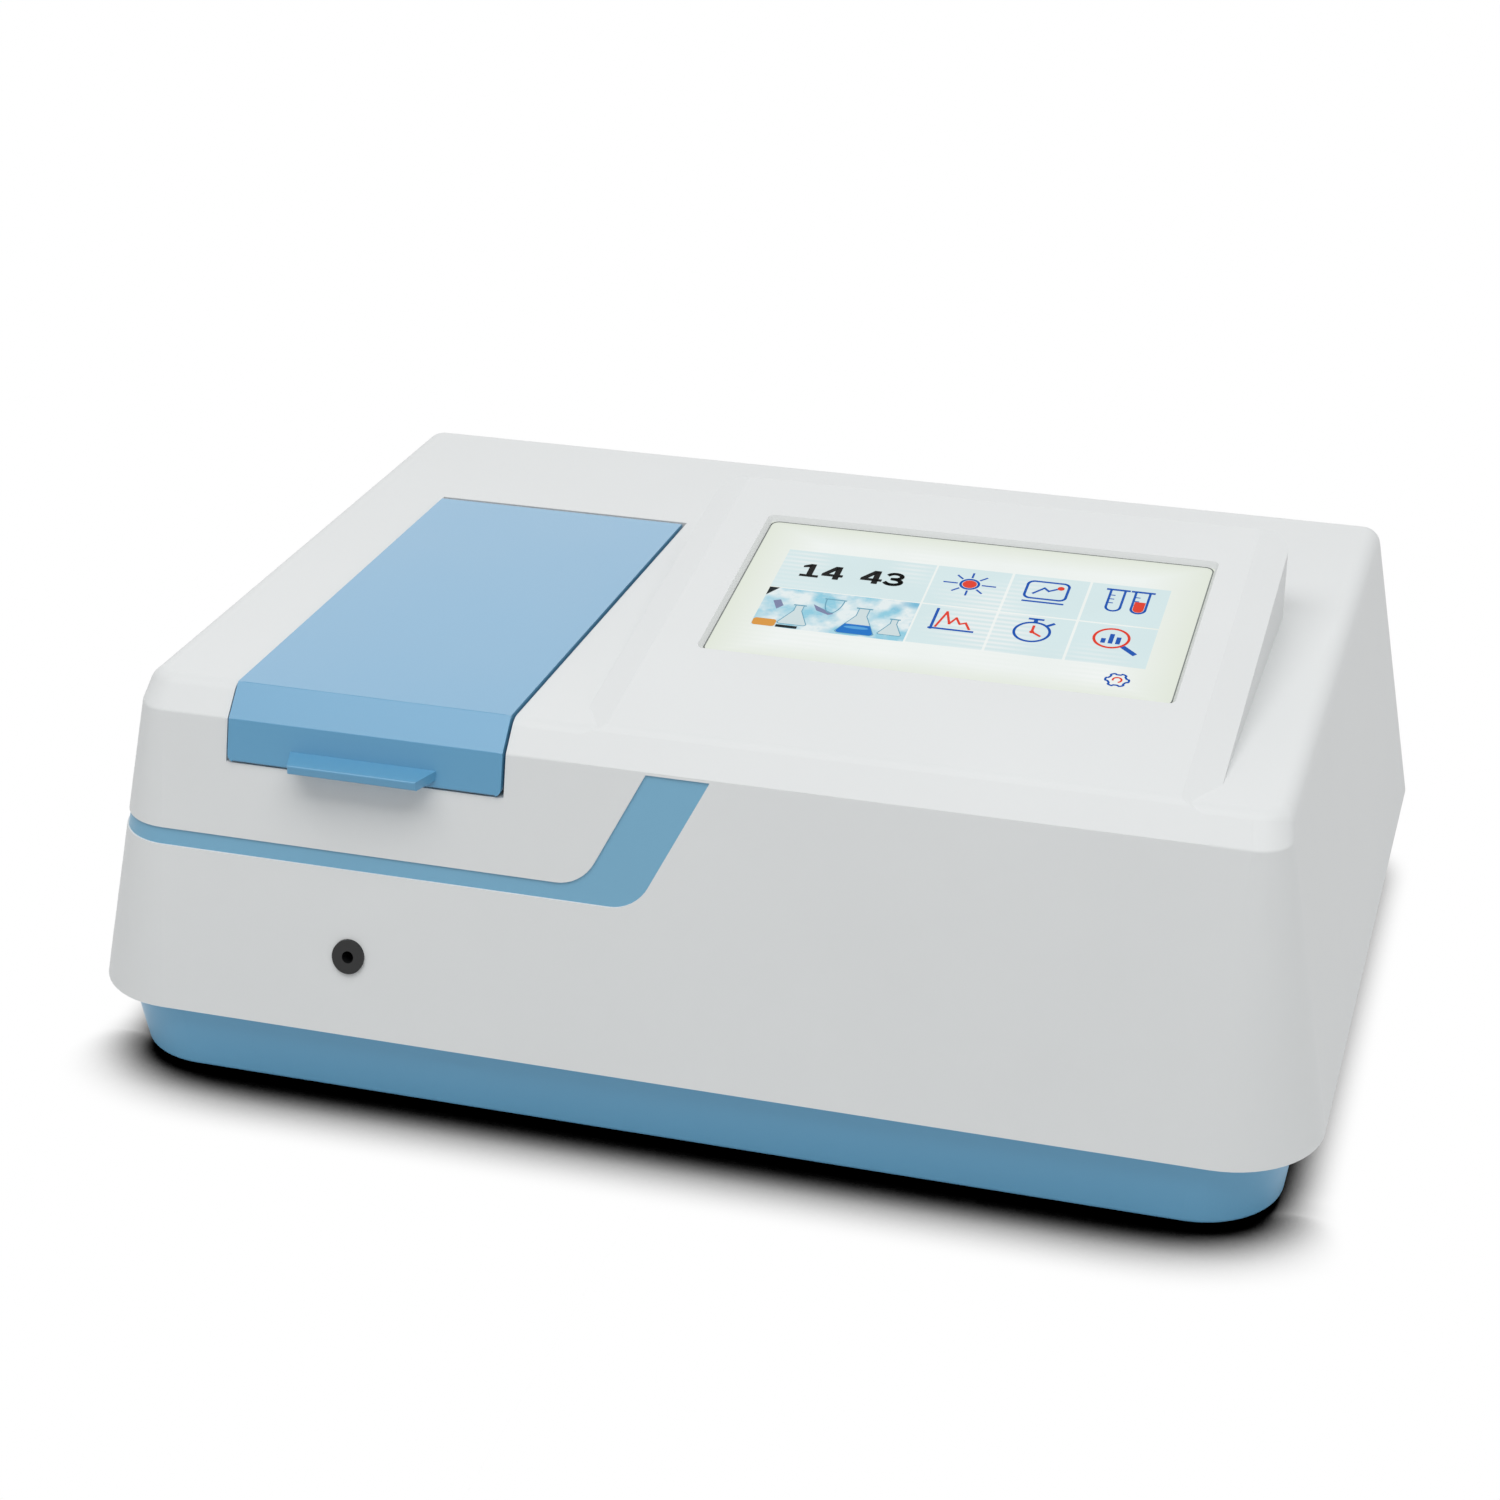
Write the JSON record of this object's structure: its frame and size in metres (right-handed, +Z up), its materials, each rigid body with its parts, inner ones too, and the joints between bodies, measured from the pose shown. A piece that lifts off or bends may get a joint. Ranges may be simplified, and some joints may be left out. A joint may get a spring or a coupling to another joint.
{
  "type": "double beam spectrophotometer",
  "caption": "Bench spectrophotometer with a hinged lid over its sample compartment, a raised touch screen, and two light beams from a grating monochromator.",
  "frame": {"origin": "centre of the overall box at the level the feet stand on", "axes": "+Z up, -Y is the front with the lid's pull and the screen's low edge, +X is to the right seen from the front"},
  "size_m": [0.59, 0.426, 0.235],
  "materials": {
    "case_white": "satin",
    "case_blue": "satin",
    "lid_blue": "satin",
    "band_blue": "satin",
    "black_plastic": "satin",
    "black_metal": "matt",
    "rubber": "matt",
    "foam": "matt",
    "steel": "satin",
    "aluminium": "satin",
    "black_aluminium": "anodised",
    "cast_aluminium": "as cast",
    "brass": "satin",
    "clear_glass": "polished",
    "mirror": "polished",
    "board": "satin",
    "screen": "polished",
    "lcd": "satin"
  },
  "bodies": {
    "case": {"top_cover": "case_white", "accent_band": "band_blue", "base_tray": "case_blue", "rubber_feet": "rubber", "case_screws": "steel", "hinge_brackets": "steel", "hinge_pins": "steel", "lid_seal": "foam", "compartment_well": "black_plastic", "rod_bushing": "black_plastic", "cell_holders": "black_aluminium", "quartz_windows": "clear_glass", "window_retainers": "black_aluminium", "optical_bench": "cast_aluminium", "pillars_and_standoffs": "steel", "bench_screws": "steel", "lenses": "clear_glass", "lens_mounts": "black_aluminium", "detectors": "steel", "detector_boards": "board", "detector_brackets": "aluminium", "fold_mirrors": "mirror", "beam_splitter": "mirror", "mirror_posts": "black_aluminium", "mono_housing": "black_aluminium", "mono_cover": "black_aluminium", "slit_plates": "steel", "concave_mirrors": "mirror", "concave_mounts": "black_aluminium", "grating_bearing": "brass", "drive_motor": "steel", "filter_motor": "steel", "lamp_house": "black_metal", "lamp_house_cover": "black_metal", "deuterium_lamp": "clear_glass", "tungsten_lamp": "clear_glass", "lamp_sockets": "steel", "source_motor": "steel", "main_board": "board", "power_supply": "aluminium", "touch_panel": "screen", "lcd_module": "lcd", "lcd_frame": "steel", "display_board": "board", "rear_panel": "black_metal", "fan_frame": "black_plastic", "fan_guard": "steel", "power_inlet": "black_plastic", "switch_frame": "black_plastic", "data_ports": "steel"},
    "lid": {"sample_lid": "lid_blue"},
    "rocker": {"power_rocker": "black_plastic"},
    "fan": {"fan_rotor": "black_plastic"},
    "filters": {"filter_wheel": "black_aluminium", "filter_glasses": "clear_glass"},
    "grating_turntable": {"grating_table": "brass", "grating": "mirror"},
    "pinion": {"drive_pinion": "steel"},
    "source_selector": {"source_mirror_arm": "aluminium", "source_mirror": "mirror"}
  },
  "joints": [
    {"name": "lid_hinge", "type": "hinge", "parent": "case", "child": "lid", "pos_m": [-0.1525, 0.086, 0.187], "axis": [-1, 0, 0], "range_deg": [0, 95]},
    {"name": "power_switch", "type": "hinge", "parent": "case", "child": "rocker", "pos_m": [0.222, 0.20284, 0.11648], "axis": [1, 0, 0], "range_deg": [0, 18]},
    {"name": "fan_spin", "type": "hinge", "parent": "case", "child": "fan", "pos_m": [0.105, 0.19395, 0.09984], "axis": [0, 0.9977, 0.068], "continuous": true},
    {"name": "filter_spin", "type": "hinge", "parent": "case", "child": "filters", "pos_m": [0.12, 0.0155, 0.13], "axis": [0, 1, 0], "continuous": true},
    {"name": "grating_turn", "type": "hinge", "parent": "case", "child": "grating_turntable", "pos_m": [0.04, 0.068, 0.0625], "axis": [0, 0, 1], "range_deg": [-20, 18]},
    {"name": "pinion_turn", "type": "hinge", "parent": "case", "child": "pinion", "pos_m": [0.0736, 0.068, 0.0625], "axis": [0, 0, 1], "range_deg": [-121, 121]},
    {"name": "source_swing", "type": "hinge", "parent": "case", "child": "source_selector", "pos_m": [0.18, -0.025, 0.1], "axis": [0, 0, -1], "range_deg": [0, 45]}
  ],
  "couplings": [
    {"joint": "pinion_turn", "follows": "grating_turn", "ratio": -6}
  ]
}
